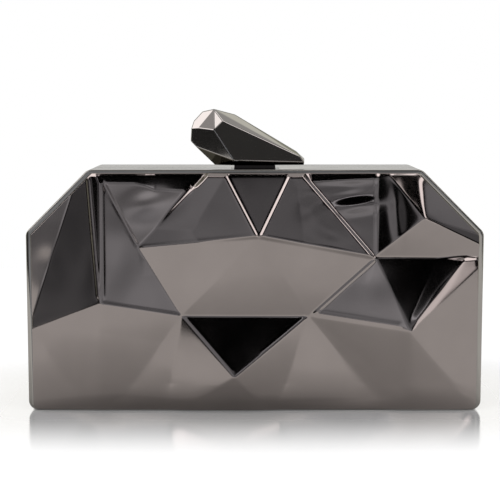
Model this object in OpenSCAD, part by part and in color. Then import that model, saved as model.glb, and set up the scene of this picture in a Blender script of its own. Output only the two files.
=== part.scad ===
// Hard case evening clutch with a faceted relief on both faces and a stone shaped press knob.
// Two shallow metal halves hinge along the base and latch under the knob at the middle of the top.
// Millimetres, +Z up, +X to the right as the front is looked at, front towards -Y.
// The origin is at the middle of the base, below the parting line of the two halves.

/* [Case] */
// Width of the case
case_w = 190; // [160:1:220]
// Height of the case without the knob
case_h = 101; // [90:1:130]
// Depth of each half, from the rim's face to the parting line
half_d = 22; // [21:0.5:30]
// Leg of the two sloped upper corners
shoulder = 26; // [14:0.5:36]
// Radius of the corners of the outline
corner_r = 4; // [3.5:0.5:7]
// Thickness of the frame's sheet
frame_wall = 1; // [0.9:0.1:1.2]
// Width of the rim that shows round each panel
bezel_w = 2.1; // [2:0.1:3]
// Gap between the two halves when the case is shut
parting_gap = 0.2; // [0.1:0.05:0.4]

/* [Relief panels] */
// Height of the highest facet corner above the rim
relief_h = 9; // [5:0.5:10]
// Thickness of a panel
panel_wall = 0.9; // [0.7:0.1:1.5]
// Gap round a panel in its frame
panel_gap = 0.25; // [0.2:0.05:0.4]
// Thickness of the flange behind the rim
flange_t = 1; // [0.8:0.1:1.4]
// Width of each clip that holds the flange
clip_w = 8; // [5:0.5:12]
// Thickness of the clips
clip_t = 0.8; // [0.6:0.1:1]

/* [Hinges] */
// Distance of each hinge from the middle
hinge_x = 52; // [35:1:60]
// Length of each hinge
hinge_l = 24; // [20:1:36]
// Radius of the knuckles
knuckle_r = 1.6; // [1.4:0.1:1.7]
// Radius of the hinge pins
pin_r = 0.7; // [0.5:0.05:0.8]
// Height of the hinge channel under the base
channel_rise = 1.7; // [1.7:0.1:2.2]
// Half the width of the hinge channel
channel_half = 9; // [8.5:0.5:11]
// Thickness of the hinge leaves
leaf_t = 0.8; // [0.6:0.1:1]

/* [Clasp] */
// Travel of the knob when it is pressed
press_travel = 1.3; // [1.2:0.1:1.4]
// Gap below the knob at rest
knob_lift = 1.5; // [1.5:0.1:2.5]
// Width of the push block below the knob
block_w = 17.2; // [15:0.2:19]
// Depth of the push block
block_d = 7.4; // [6:0.2:8]
// Thickness of the hook plate
hook_t = 1.15; // [1:0.05:1.3]
// Bite of the hook's tooth behind the catch
hook_bite = 1; // [0.7:0.1:1]
// Radius of the return spring to the middle of its wire
spring_r = 2.5; // [2.2:0.1:2.8]
// Radius of the spring wire
wire_r = 0.4; // [0.3:0.05:0.45]
// Number of turns of the return spring
spring_turns = 5; // [4:1:6]

/* [Knob] */
// Width of the knob
knob_w = 48; // [40:1:56]
// Depth of the knob
knob_d = 17.4; // [14:0.2:20]
// Height of the knob
knob_h = 23.3; // [18:0.5:28]

/* [Lining] */
// Thickness of the satin covered lining card
card_t = 1; // [0.8:0.1:1.2]
// Width of the slip pocket
pocket_w = 96; // [60:1:110]
// Height of the slip pocket
pocket_h = 46; // [30:1:52]

/* [Strap loops] */
// Radius of the hole in each strap loop
loop_hole_r = 2.2; // [1.5:0.1:2.5]
// Distance of the strap loops below the shoulders
loop_drop = 11; // [9:0.5:20]

/* [Hidden] */
// A cut reaches past the face that it opens by this much
over = 0.5;
// Space between parts that slide or turn on each other
run_gap = 0.05;
// Space between soft pieces and their neighbours
soft_gap = 0.3;
// Side steps of each rounded corner
arc_steps = 6;
// Sides that draw a round
round_fn = 48;
// Slope of a 45 degree corner as its edges move inwards
inset_slope = tan(22.5);

// Least radius of an inner corner, as a share of the outer corner's radius
least_corner_share = 0.125;
// Leg of the cut that takes off each lower corner of a panel, as a share of the same radius
corner_cut_share = 0.37;

panel_in = bezel_w + panel_gap;
flange_in = frame_wall + panel_gap;
flange_w = panel_gap + bezel_w - frame_wall + 2 * panel_wall;
flange_y = -half_d + frame_wall + panel_gap;
panel_half_w = case_w / 2 - panel_in;
panel_low = panel_in;
panel_high = case_h - panel_in;
panel_cut = corner_cut_share * corner_r;
side_low = panel_low + panel_cut;
base_half_w = panel_half_w - panel_cut;
brow_half_w = case_w / 2 - shoulder - panel_in * inset_slope;
brow_side_z = case_h - shoulder - panel_in * inset_slope;

channel_roof = channel_rise + frame_wall;
leaf_gap = 0.3;
knuckle_gap = 0.2;
leaf_y = knuckle_r + leaf_gap;
leaf_top = channel_roof + leaf_t;
notch_half = leaf_y + knuckle_gap;
leaf_end = channel_half - leaf_gap;
mid_knuckle_share = 0.48;
mid_knuckle_l = mid_knuckle_share * hinge_l;
rivet_r = 0.8;
rivet_head_r = 1.5;
rivet_head_h = 0.7;
rivet_spread_share = 0.34;
rivet_spread = rivet_spread_share * hinge_l;
rivet_y = (leaf_y + leaf_end) / 2;

lining_in = frame_wall + soft_gap;
lining_floor = 5;
clip_y = flange_y + flange_t;
board_y = clip_y + clip_t + soft_gap;
strip_y = board_y + card_t + soft_gap;
front_strip_gap = 24;
back_strip_gap = 12;
pocket_t = 1;
pocket_low = 14;
hem_w = 3;

lip_reach = 2;
lip_back = 5;
lip_t = 0.8;
lip_gap = 0.3;
lip_joggle = 0.7;
lip_low = 12;
lip_in = frame_wall + lip_gap + lip_t;

under_top = case_h - frame_wall;
guide_wall = 1.2;
guide_gap = 0.1;
guide_drop = 2.8;
guide_flange = 2.5;
guide_flange_t = 1;
guide_low = under_top - guide_drop;
hook_top = guide_low - run_gap;
hook_low = hook_top - hook_t;
tooth_half_w = 5;
tooth_t = 1;
tooth_back = 0.5;
catch_gap = 0.3;
catch_half_w = 7;
catch_t = 0.8;
catch_drop = 0.4;
catch_room = 3.65;
catch_end = -board_y - catch_room;
catch_lip_t = 0.8;
catch_lip_y = tooth_back + tooth_t + catch_gap;
catch_lip_low = hook_top + press_travel - hook_bite - run_gap;
tooth_top = catch_lip_low + hook_bite;
// The push block stands midway between the catch and the lining board
block_y = (catch_lip_y + catch_lip_t - board_y) / 2;
hook_half_w = 8;
hook_front = block_y + block_d / 2;
bracket_t = 0.8;
bracket_gap = 4;
bracket_half_w = block_w / 2 + bracket_gap;
bracket_half_d = 4;
bracket_ear = 8;
bracket_drop = 12;
bracket_floor = under_top - bracket_drop;
seat_r = spring_r - 2 * wire_r;
seat_h = 1.5;
screw_x = 5.5;
screw_r = 1.25;
screw_head_r = 2.2;
screw_head_h = 1.2;
screw_bite = 4.5;
screw_top = case_h + knob_lift + screw_bite;
spring_steps = 16;
spring_sides = 8;

loop_base_h = 10;
loop_base_d = 6;
loop_base_t = 0.8;
loop_reach = 8;
loop_t = 1.5;
loop_y = (lip_back - board_y) / 2;
loop_z = case_h - shoulder - loop_drop;

// Places of the clips, as shares of the case's width and height
top_clip_shares = [0.11, 0.25];
base_clip_shares = [0.2, 0.4];
side_clip_shares = [0.25, 0.6];

// Where facet edges meet the upper edge, from the middle, as shares of half that edge
brow_x_shares = [-0.938, -0.296, -0.162, 0.197, 0.309, 0.733, 0.811];
brow_depth_shares = [0.26, 0.25, 0.37, 0.38, 0.29, 0.17, 0.32];
// Where they meet the right side, from the shoulder down, as shares of the side
right_z_shares = [0.055, 0.135, 0.19];
right_depth_shares = [0.24, 0.03, 0.12];
// Where they meet the left side, and the left slope from its lower end, as shares of each
left_z_shares = [0.485, 0.567];
left_depth_shares = [0.11, 0.17];
slope_share = 0.7;
slope_depth_share = 0.02;
// How proud the corners and the lower edge of the panel stand, and those of its right shoulder
corner_depth_share = 0.12;
shoulder_depth_share = 0.16;
// Facet corners inside the panel: across, up and depth, as shares of half width, height and relief
facet_shares = [
    [-0.686, 0.457, 0.72],
    [0.018, 0.749, 0.87],
    [0.747, 0.823, 0.9],
    [0.691, 0.336, 1],
    [-0.089, 0.137, 1],
    [-0.521, 0.694, 0.29],
    [-0.327, 0.396, 0.28],
    [0.241, 0.393, 0.18],
    [0.535, 0.655, 0.48]
];
// The lowest row of facet corners, where the relief rolls under
roll_shares = [
    [-0.783, 0.031, 0.27],
    [-0.688, 0.023, 0.42],
    [-0.581, 0.054, 0.32],
    [-0.393, 0.032, 0.34],
    [-0.308, 0.011, 0.56],
    [0.033, 0.011, 0.56],
    [0.109, 0.015, 0.33],
    [0.552, 0.034, 0.12],
    [0.706, 0.038, 0.4],
    [0.952, 0.026, 0.26]
];
// Corners of the knob's front half: across from the block, towards the back, and up, as shares
knob_shares = [
    [-0.352, -0.424, 0.631],
    [-0.275, -0.324, 0.789],
    [-0.182, -0.510, 0.095],
    [0.432, -0.164, 0.049],
    [0.402, -0.147, 0.151],
    [-0.356, -0.218, 1],
    [-0.454, -0.142, 0.957],
    [-0.529, -0.182, 0.790],
    [-0.492, -0.306, 0.665],
    [-0.550, -0.255, 0.657],
    [-0.511, -0.252, 0.332],
    [-0.557, -0.223, 0.431],
    [-0.348, -0.058, 0],
    [-0.181, -0.280, 0],
    [0.429, -0.064, 0],
    [-0.173, -0.032, 0.901],
    [0.365, -0.050, 0.240],
    [0.435, 0.025, 0.112]
];
// The plane that mirrors them to the back half, as a share of the knob's depth
knob_mid_share = 0.076;

gunmetal = "#6b6665";
dark_steel = "#8a8a88";
satin = "#1d1b1d";

// Corners of the case outline moved inwards, with the base at its own height
function case_corners(inset, low) = [
    [-case_w / 2 + inset, low],
    [case_w / 2 - inset, low],
    [case_w / 2 - inset, case_h - shoulder - inset * inset_slope],
    [case_w / 2 - shoulder - inset * inset_slope, case_h - inset],
    [-case_w / 2 + shoulder + inset * inset_slope, case_h - inset],
    [-case_w / 2 + inset, case_h - shoulder - inset * inset_slope]
];

function unit(v) = v / norm(v);

// Points of an arc that rounds the corner at c between its neighbours a and b
function corner_arc(a, c, b, r) =
    let (
        u = unit(a - c),
        v = unit(b - c),
        half_angle = acos(u * v) / 2,
        middle = c + unit(u + v) * r / sin(half_angle),
        start = c + u * r / tan(half_angle) - middle,
        from = atan2(start[1], start[0]),
        turn = 180 - 2 * half_angle
    )
    [for (s = [0 : arc_steps]) let (w = from + turn * s / arc_steps) middle + r * [cos(w), sin(w)]];

function rounded(points, r) = [
    for (i = [0 : len(points) - 1])
        each corner_arc(
            points[(i + len(points) - 1) % len(points)], points[i], points[(i + 1) % len(points)], r)
];

function case_outline(inset, low) =
    rounded(case_corners(inset, low), max(corner_r - inset, least_corner_share * corner_r));

// A flat outline, across and up, filled from one depth to another
module slab(y_from, y_to, points)
    translate([0, y_to, 0])
        rotate([90, 0, 0])
            linear_extrude(y_to - y_from) polygon(points);

// A band round the case between two insets
module band(y_from, y_to, outer_in, inner_in, outer_low, inner_low)
    difference() {
        slab(y_from, y_to, case_outline(outer_in, outer_low));
        slab(y_from - over, y_to + over, case_outline(inner_in, inner_low));
    }

// A box from its lowest corner to its highest
module box(low, high) translate(low) cube(high - low);

module upright(x, y, z_from, z_to, r)
    translate([x, y, z_from]) cylinder(h = z_to - z_from, r = r, $fn = round_fn);

module at_back() rotate([0, 0, 180]) children();

// One frame, drawn as the front one: the wall, the rim that shows and the hinge channel
module half_frame() {
    band(-half_d, -parting_gap / 2, 0, frame_wall, 0, frame_wall);
    band(-half_d, -half_d + frame_wall, 0, bezel_w, 0, bezel_w);
    intersection() {
        slab(-channel_half - frame_wall, -parting_gap / 2, case_outline(0, 0));
        box([-case_w, -half_d, 0], [case_w, 0, channel_roof]);
    }
}

// Space below the channel roof, and the notches in the roof that clear the knuckles
module channel_space() {
    box([-case_w, -channel_half, -over], [case_w, over, channel_rise]);
    for (side = [-1, 1])
        box([side * hinge_x - hinge_l / 2 - leaf_gap, -notch_half, -over],
            [side * hinge_x + hinge_l / 2 + leaf_gap, over, channel_roof + over]);
}

module leaf_rivet_places()
    for (side = [-1, 1], end = [-1, 1])
        translate([side * hinge_x + end * rivet_spread, -rivet_y, 0]) children();

module leaf_rivet_holes()
    leaf_rivet_places() upright(0, 0, -over, leaf_top + over, rivet_r + run_gap);

module cut_frame()
    difference() {
        half_frame();
        channel_space();
        leaf_rivet_holes();
    }

module front_frame()
    color(gunmetal)
        difference() {
            cut_frame();
            guide_tube(guide_wall + guide_gap + run_gap, under_top - over, case_h + over);
        }

module back_frame() color(gunmetal) at_back() cut_frame();

// The relief: first the points round its edge, clockwise from the upper left corner
function up_share(s) = panel_low + s * (panel_high - panel_low);
function side_share(s) = brow_side_z - s * (brow_side_z - side_low);
function edge_points() = concat(
    [[-brow_half_w, panel_high, corner_depth_share]],
    [for (i = [0 : len(brow_x_shares) - 1])
        [brow_x_shares[i] * brow_half_w, panel_high, brow_depth_shares[i]]],
    [[brow_half_w, panel_high, shoulder_depth_share]],
    [[panel_half_w, brow_side_z, shoulder_depth_share]],
    [for (i = [0 : len(right_z_shares) - 1])
        [panel_half_w, side_share(right_z_shares[i]), right_depth_shares[i]]],
    [[panel_half_w, side_low, corner_depth_share]],
    [[base_half_w, panel_low, corner_depth_share]],
    [for (i = [9 : -1 : 0]) [roll_shares[i][0] * base_half_w, panel_low, corner_depth_share]],
    [[-base_half_w, panel_low, corner_depth_share]],
    [[-panel_half_w, side_low, corner_depth_share]],
    [for (i = [1 : -1 : 0]) [-panel_half_w, side_share(left_z_shares[i]), left_depth_shares[i]]],
    [[-panel_half_w, brow_side_z, corner_depth_share]],
    [[-panel_half_w + slope_share * (panel_half_w - brow_half_w),
        brow_side_z + slope_share * (panel_high - brow_side_z), slope_depth_share]]
);
function inner_points() = [
    for (p = concat(facet_shares, roll_shares)) [p[0] * panel_half_w, up_share(p[1]), p[2]]
];

// Facets by corner number: 0 to 30 run round the edge, 31 to 39 lie inside, 40 to 49 in the lowest row
function facets() = [
    // upper left and left side
    [30, 29, 28], [0, 30, 31], [30, 28, 31], [28, 27, 31], [0, 1, 31], [1, 31, 36], [31, 37, 36],
    // along the upper edge
    [1, 2, 36], [2, 3, 32], [2, 32, 36], [3, 4, 32], [4, 5, 32], [5, 39, 32], [5, 6, 39],
    [6, 7, 39], [7, 33, 39], [7, 8, 33], [8, 9, 33], [9, 10, 33],
    // right side
    [33, 10, 39], [10, 11, 39], [39, 11, 12], [39, 12, 34], [39, 34, 38], [12, 13, 34], [13, 49, 34],
    // middle
    [36, 32, 37], [32, 38, 37], [32, 39, 38], [37, 38, 35],
    // lower field
    [27, 40, 26], [27, 31, 40], [31, 41, 40], [31, 37, 42], [31, 42, 41], [37, 43, 42],
    [37, 35, 44], [37, 44, 43], [35, 45, 44], [35, 38, 46], [35, 46, 45], [38, 47, 46],
    [38, 34, 48], [38, 48, 47], [34, 49, 48],
    // rolled lower edge
    [26, 40, 25], [25, 40, 24], [13, 14, 49], [14, 15, 49],
    [24, 40, 41], [24, 41, 23], [23, 41, 42], [23, 42, 22], [22, 42, 43], [22, 43, 21],
    [21, 43, 44], [21, 44, 20], [20, 44, 45], [20, 45, 19], [19, 45, 46], [19, 46, 18],
    [18, 46, 47], [18, 47, 17], [17, 47, 48], [17, 48, 16], [16, 48, 49], [16, 49, 15]
];

// A relief point in space, and the same point on the inner skin
function outer_skin(p) = [p[0], -half_d - p[2] * relief_h, p[1]];
function inner_skin(p) = [
    p[0] * (1 - panel_wall / panel_half_w),
    -half_d - p[2] * relief_h + panel_wall,
    case_h / 2 + (p[1] - case_h / 2) * (1 - panel_wall / (case_h / 2 - panel_in))
];

function turn_of(face, points) =
    let (a = points[face[0]], b = points[face[1]], c = points[face[2]])
    (b[0] - a[0]) * (c[1] - a[1]) - (b[1] - a[1]) * (c[0] - a[0]);
function clockwise(face, points) = turn_of(face, points) > 0 ? [face[2], face[1], face[0]] : face;

module relief_shell() {
    edge = edge_points();
    all = concat(edge, inner_points());
    n = len(all);
    m = len(edge);
    skirt_y = flange_y + flange_t / 2;
    outer = [for (p = all) outer_skin(p)];
    inner = [for (p = all) inner_skin(p)];
    outer_foot = [for (i = [0 : m - 1]) [outer[i][0], skirt_y, outer[i][2]]];
    inner_foot = [for (i = [0 : m - 1]) [inner[i][0], skirt_y, inner[i][2]]];
    front = [for (f = facets()) clockwise(f, all)];
    polyhedron(
        points = concat(outer, inner, outer_foot, inner_foot),
        faces = concat(
            front,
            [for (f = front) [f[2] + n, f[1] + n, f[0] + n]],
            [for (i = [0 : m - 1]) let (j = (i + 1) % m) each [
                [i, 2 * n + i, 2 * n + j],
                [i, 2 * n + j, j],
                [n + i, n + j, 2 * n + m + j],
                [n + i, 2 * n + m + j, 2 * n + m + i],
                [2 * n + i, 2 * n + m + i, 2 * n + m + j],
                [2 * n + i, 2 * n + m + j, 2 * n + j]
            ]]
        )
    );
}

module relief_panel() {
    relief_shell();
    band(flange_y, flange_y + flange_t, flange_in, flange_in + flange_w, flange_in, flange_in + flange_w);
}

module front_panel() color(gunmetal) relief_panel();
module back_panel() color(gunmetal) at_back() relief_panel();

// Clips soldered inside the frame wall, which press the panel's flange against the rim
module panel_clips() {
    clip_reach = flange_in + flange_w / 2;
    for (side = [-1, 1]) {
        for (share = top_clip_shares)
            box([side * share * case_w - clip_w / 2, clip_y, case_h - clip_reach],
                [side * share * case_w + clip_w / 2, clip_y + clip_t, under_top]);
        for (share = base_clip_shares)
            box([side * share * case_w - clip_w / 2, clip_y, frame_wall],
                [side * share * case_w + clip_w / 2, clip_y + clip_t, clip_reach]);
        for (share = side_clip_shares)
            mirror([side < 0 ? 1 : 0, 0, 0])
                box([case_w / 2 - clip_reach, clip_y, share * case_h - clip_w / 2],
                    [case_w / 2 - frame_wall, clip_y + clip_t, share * case_h + clip_w / 2]);
    }
}

module front_panel_clips() color(dark_steel) panel_clips();
module back_panel_clips() color(dark_steel) at_back() panel_clips();

// A thin strip soldered inside the back frame, which the front half closes over
module closing_lip()
    color(gunmetal)
        difference() {
            union() {
                band(lip_joggle, lip_back, frame_wall, lip_in, frame_wall, lip_in);
                band(-lip_reach, lip_joggle + over,
                    frame_wall + lip_gap, lip_in, frame_wall + lip_gap, lip_in);
            }
            box([-case_w, -half_d, -over], [case_w, half_d, lip_low]);
            box([-back_strip_gap, -half_d, case_h / 2], [back_strip_gap, half_d, case_h]);
        }

// One hinge leaf: the plate, and one or two knuckles that stand on its edge
module leaf_knuckle(x_from, x_to) {
    translate([x_from, 0, channel_rise])
        rotate([0, 90, 0]) cylinder(h = x_to - x_from, r = knuckle_r, $fn = round_fn);
    box([x_from, -leaf_y - over, channel_roof], [x_to, 0, leaf_top]);
}

module hinge_leaf(x, outer_knuckles) {
    mid_half = mid_knuckle_l / 2;
    difference() {
        union() {
            box([x - hinge_l / 2, -leaf_end, channel_roof], [x + hinge_l / 2, -leaf_y, leaf_top]);
            if (outer_knuckles)
                for (side = [0, 1]) mirror_about(x, side)
                    leaf_knuckle(x + mid_half + knuckle_gap, x + hinge_l / 2);
            else
                leaf_knuckle(x - mid_half, x + mid_half);
        }
        translate([x - hinge_l, 0, channel_rise])
            rotate([0, 90, 0]) cylinder(h = 2 * hinge_l, r = pin_r + run_gap, $fn = round_fn);
        leaf_rivet_holes();
    }
}

module mirror_about(x, flip) translate([x, 0, 0]) mirror([flip, 0, 0]) translate([-x, 0, 0]) children();

module front_hinge_leaf_left() color(dark_steel) hinge_leaf(-hinge_x, true);
module front_hinge_leaf_right() color(dark_steel) hinge_leaf(hinge_x, true);
module back_hinge_leaf_left() color(dark_steel) at_back() hinge_leaf(hinge_x, false);
module back_hinge_leaf_right() color(dark_steel) at_back() hinge_leaf(-hinge_x, false);

module hinge_pin(x)
    color("silver")
        translate([x - hinge_l / 2, 0, channel_rise])
            rotate([0, 90, 0]) cylinder(h = hinge_l, r = pin_r, $fn = round_fn);

module hinge_pin_left() hinge_pin(-hinge_x);
module hinge_pin_right() hinge_pin(hinge_x);

// Rivets through each leaf and the channel roof, with a head on both sides
module leaf_rivets()
    leaf_rivet_places() {
        upright(0, 0, channel_rise - rivet_head_h, leaf_top + rivet_head_h, rivet_r);
        upright(0, 0, channel_rise - rivet_head_h, channel_rise, rivet_head_r);
        upright(0, 0, leaf_top, leaf_top + rivet_head_h, rivet_head_r);
    }

module front_hinge_rivets() color("silver") leaf_rivets();
module back_hinge_rivets() color("silver") at_back() leaf_rivets();

// A block round the push block's middle, grown on all four sides and further to the left and right
module guide_tube(grow, z_from, z_to, wider = 0)
    box([-block_w / 2 - grow - wider, -block_y - block_d / 2 - grow, z_from],
        [block_w / 2 + grow + wider, -block_y + block_d / 2 + grow, z_to]);

// Sleeve soldered in the top of the front frame, in which the push block slides
module clasp_guide()
    color(gunmetal)
        difference() {
            union() {
                guide_tube(guide_wall + guide_gap, guide_low, case_h);
                guide_tube(guide_wall + guide_gap, under_top - guide_flange_t, under_top, guide_flange);
            }
            guide_tube(guide_gap, guide_low - over, case_h + over);
        }

// U shaped bracket soldered below the top, whose floor carries the return spring
module clasp_bracket()
    color(dark_steel) {
        for (side = [0, 1]) mirror([side, 0, 0]) {
            box([bracket_half_w, -block_y - bracket_half_d, under_top - bracket_t],
                [bracket_half_w + bracket_ear, -block_y + bracket_half_d, under_top]);
            box([bracket_half_w, -block_y - bracket_half_d, bracket_floor - bracket_t],
                [bracket_half_w + bracket_t, -block_y + bracket_half_d, under_top]);
        }
        box([-bracket_half_w - bracket_t, -block_y - bracket_half_d, bracket_floor - bracket_t],
            [bracket_half_w + bracket_t, -block_y + bracket_half_d, bracket_floor]);
        upright(0, -block_y, bracket_floor, bracket_floor + seat_h, seat_r);
    }

// Coil spring between the bracket's floor and the hook plate
function spring_point(share) =
    let (w = 360 * spring_turns * share)
    [spring_r * cos(w), spring_r * sin(w) - block_y,
        bracket_floor + wire_r + share * (hook_low - bracket_floor - 2 * wire_r)];
function spring_ring(i, last) =
    let (
        share = i / last,
        w = 360 * spring_turns * share,
        middle = spring_point(share)
    )
    [for (k = [0 : spring_sides - 1]) let (q = 360 * k / spring_sides)
        middle + wire_r * [cos(q) * cos(w), cos(q) * sin(w), sin(q)]];

module return_spring() {
    last = spring_turns * spring_steps;
    n = spring_sides;
    color("silver")
        polyhedron(
            points = [for (i = [0 : last]) each spring_ring(i, last)],
            faces = concat(
                [[for (k = [0 : n - 1]) k]],
                [for (i = [0 : last - 1], k = [0 : n - 1])
                    let (a = i * n + k, b = i * n + (k + 1) % n) [a, a + n, b + n]],
                [for (i = [0 : last - 1], k = [0 : n - 1])
                    let (a = i * n + k, b = i * n + (k + 1) % n) [a, b + n, b]],
                [[for (k = [n - 1 : -1 : 0]) last * n + k]]
            )
        );
}

// The push block slides in the guide and carries the knob
module knob_screw_holes()
    for (side = [-1, 1])
        upright(side * screw_x, -block_y, hook_low - over, screw_top + over, screw_r + run_gap);

module push_block()
    color(gunmetal)
        difference() {
            guide_tube(0, hook_top, case_h + knob_lift);
            knob_screw_holes();
        }

// Plate below the push block, with a tooth that stands up behind the catch
module hook_plate()
    color(dark_steel)
        difference() {
            union() {
                box([-hook_half_w, -hook_front, hook_low], [hook_half_w, -tooth_back, hook_top]);
                box([-tooth_half_w, -tooth_back - tooth_t, hook_low], [tooth_half_w, -tooth_back, tooth_top]);
            }
            knob_screw_holes();
        }

module knob_screws()
    color("silver")
        for (side = [-1, 1]) {
            upright(side * screw_x, -block_y, hook_low - screw_head_h, screw_top, screw_r);
            upright(side * screw_x, -block_y, hook_low - screw_head_h, hook_low, screw_head_r);
        }

// The knob, a solid stone shape with flat facets, alike at the front and the back
function knob_corners() = [
    for (p = knob_shares, side = [-1, 1])
        let (y = side < 0 ? p[1] : 2 * knob_mid_share - p[1])
        [p[0] * knob_w, y * knob_d - block_y, case_h + knob_lift + p[2] * knob_h]
];

module clasp_knob()
    color(gunmetal)
        difference() {
            hull()
                polyhedron(
                    points = knob_corners(),
                    faces = [for (i = [1 : 2 * len(knob_shares) - 2]) [0, i, i + 1]]
                );
            knob_screw_holes();
        }

// Spring plate soldered below the back frame's top; its turned down end springs over the tooth
module catch_spring()
    color("silver") {
        box([-catch_half_w, lip_joggle - over, under_top - catch_t], [catch_half_w, catch_end, under_top]);
        box([-catch_half_w, -catch_lip_y - catch_lip_t, under_top - catch_drop - catch_t],
            [catch_half_w, lip_joggle, under_top - catch_drop]);
        box([-catch_half_w, -catch_lip_y - catch_lip_t, catch_lip_low],
            [catch_half_w, -catch_lip_y, under_top - catch_drop]);
    }

// Satin covered cards: a board behind each panel and a strip round each frame
module lining_board()
    slab(board_y, board_y + card_t, case_outline(lining_in, lining_floor));

module lining_strip(y_end, clasp_space)
    difference() {
        band(strip_y, y_end, lining_in, lining_in + card_t, lining_floor, lining_floor + card_t);
        box([-clasp_space, -half_d, case_h / 2], [clasp_space, half_d, case_h]);
    }

module front_lining_board() color(satin) lining_board();
module back_lining_board() color(satin) at_back() lining_board();
module front_lining_strip() color(satin) lining_strip(-lip_reach - 2 * soft_gap, front_strip_gap);
module back_lining_strip()
    color(satin)
        difference() {
            at_back() lining_strip(-lip_back - soft_gap, back_strip_gap);
            for (side = [0, 1]) mirror([side, 0, 0]) loop_space();
        }

// Flat pocket sewn on the back board along its sides and lower edge
module slip_pocket()
    color(satin)
        at_back() {
            pocket_y = board_y + card_t + soft_gap;
            box([-pocket_w / 2, pocket_y + pocket_t / 2, pocket_low],
                [pocket_w / 2, pocket_y + pocket_t, pocket_low + pocket_h]);
            box([-pocket_w / 2, pocket_y, pocket_low],
                [pocket_w / 2, pocket_y + pocket_t, pocket_low + hem_w]);
            for (side = [0, 1]) mirror([side, 0, 0])
                box([pocket_w / 2 - hem_w, pocket_y, pocket_low],
                    [pocket_w / 2, pocket_y + pocket_t, pocket_low + pocket_h]);
        }

// Loop for a strap's end clip, soldered inside each side of the back frame through the lining
module loop_space() {
    half_space_d = loop_base_d / 2 + soft_gap;
    half_space_h = loop_base_h / 2 + soft_gap;
    box([case_w / 2 - lining_in - card_t - over, loop_y - half_space_d, loop_z - half_space_h],
        [case_w / 2, loop_y + half_space_d, loop_z + half_space_h]);
}

module strap_loop() {
    wall_x = case_w / 2 - frame_wall;
    eye_x = wall_x - loop_reach;
    difference() {
        union() {
            box([wall_x - loop_base_t, loop_y - loop_base_d / 2, loop_z - loop_base_h / 2],
                [wall_x, loop_y + loop_base_d / 2, loop_z + loop_base_h / 2]);
            box([eye_x, loop_y - loop_t / 2, loop_z - loop_base_h / 2],
                [wall_x, loop_y + loop_t / 2, loop_z + loop_base_h / 2]);
            translate([eye_x, loop_y + loop_t / 2, loop_z])
                rotate([90, 0, 0]) cylinder(h = loop_t, r = loop_base_h / 2, $fn = round_fn);
        }
        translate([eye_x, loop_y + loop_t, loop_z])
            rotate([90, 0, 0]) cylinder(h = 2 * loop_t, r = loop_hole_r, $fn = round_fn);
    }
}

module strap_loop_right() color(gunmetal) strap_loop();
module strap_loop_left() color(gunmetal) mirror([1, 0, 0]) strap_loop();

back_frame();
back_panel();
back_panel_clips();
closing_lip();
catch_spring();
back_lining_board();
back_lining_strip();
slip_pocket();
strap_loop_left();
strap_loop_right();
back_hinge_leaf_left();
back_hinge_leaf_right();
back_hinge_rivets();
hinge_pin_left();
hinge_pin_right();
front_frame();
front_panel();
front_panel_clips();
clasp_guide();
clasp_bracket();
return_spring();
front_lining_board();
front_lining_strip();
front_hinge_leaf_left();
front_hinge_leaf_right();
front_hinge_rivets();
clasp_knob();
push_block();
hook_plate();
knob_screws();
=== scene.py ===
# An evening clutch: two dark plated half shells of sheet metal, each with a pressed relief panel,
# hinged along the base and shut by a stone shaped knob that is pressed to open it.
import math
import random

import bmesh
import bpy
import numpy as np
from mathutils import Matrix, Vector


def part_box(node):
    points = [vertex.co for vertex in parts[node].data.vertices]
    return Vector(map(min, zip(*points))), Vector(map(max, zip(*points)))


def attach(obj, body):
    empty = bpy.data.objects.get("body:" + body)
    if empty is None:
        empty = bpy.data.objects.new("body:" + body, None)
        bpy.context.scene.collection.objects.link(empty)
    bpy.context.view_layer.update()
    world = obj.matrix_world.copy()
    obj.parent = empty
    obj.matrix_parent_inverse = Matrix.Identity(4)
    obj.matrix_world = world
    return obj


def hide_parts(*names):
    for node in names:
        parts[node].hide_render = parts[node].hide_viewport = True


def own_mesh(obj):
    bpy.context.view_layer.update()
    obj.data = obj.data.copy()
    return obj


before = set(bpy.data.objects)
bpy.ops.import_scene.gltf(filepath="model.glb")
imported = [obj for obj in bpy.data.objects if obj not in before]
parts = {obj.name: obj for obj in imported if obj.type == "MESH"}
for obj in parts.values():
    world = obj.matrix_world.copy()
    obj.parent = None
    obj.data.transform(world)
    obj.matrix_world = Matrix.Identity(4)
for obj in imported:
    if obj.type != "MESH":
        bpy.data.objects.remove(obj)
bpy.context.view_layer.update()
scene = bpy.context.scene

# Camera: in front of the clutch and a little above it, close enough to see its top edge.
# It looks slightly down, with a lens of medium length, as the photograph was taken.
lens = bpy.data.cameras.new("studio_camera")
lens.lens = 95.46
lens.sensor_width = 36
lens.clip_start = 0.05
lens.clip_end = 20
camera = bpy.data.objects.new("studio_camera", lens)
camera.location = (-0.0020, -0.5685, 0.1307)
camera.rotation_euler = (math.pi / 2 - 0.114745, 0, 0)
scene.collection.objects.link(camera)
scene.camera = camera

# Back half frame: a drawn shell of 1 mm sheet, polished and plated in dark mirror gunmetal.
# Its edges are broken by the polishing wheel; the base rolls over the hinge channel.
case_low, case_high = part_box("back_frame")
case_w = case_high.x - case_low.x
case_h = case_high.z
half_d = case_high.y
rim_round = 0.0005


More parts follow.
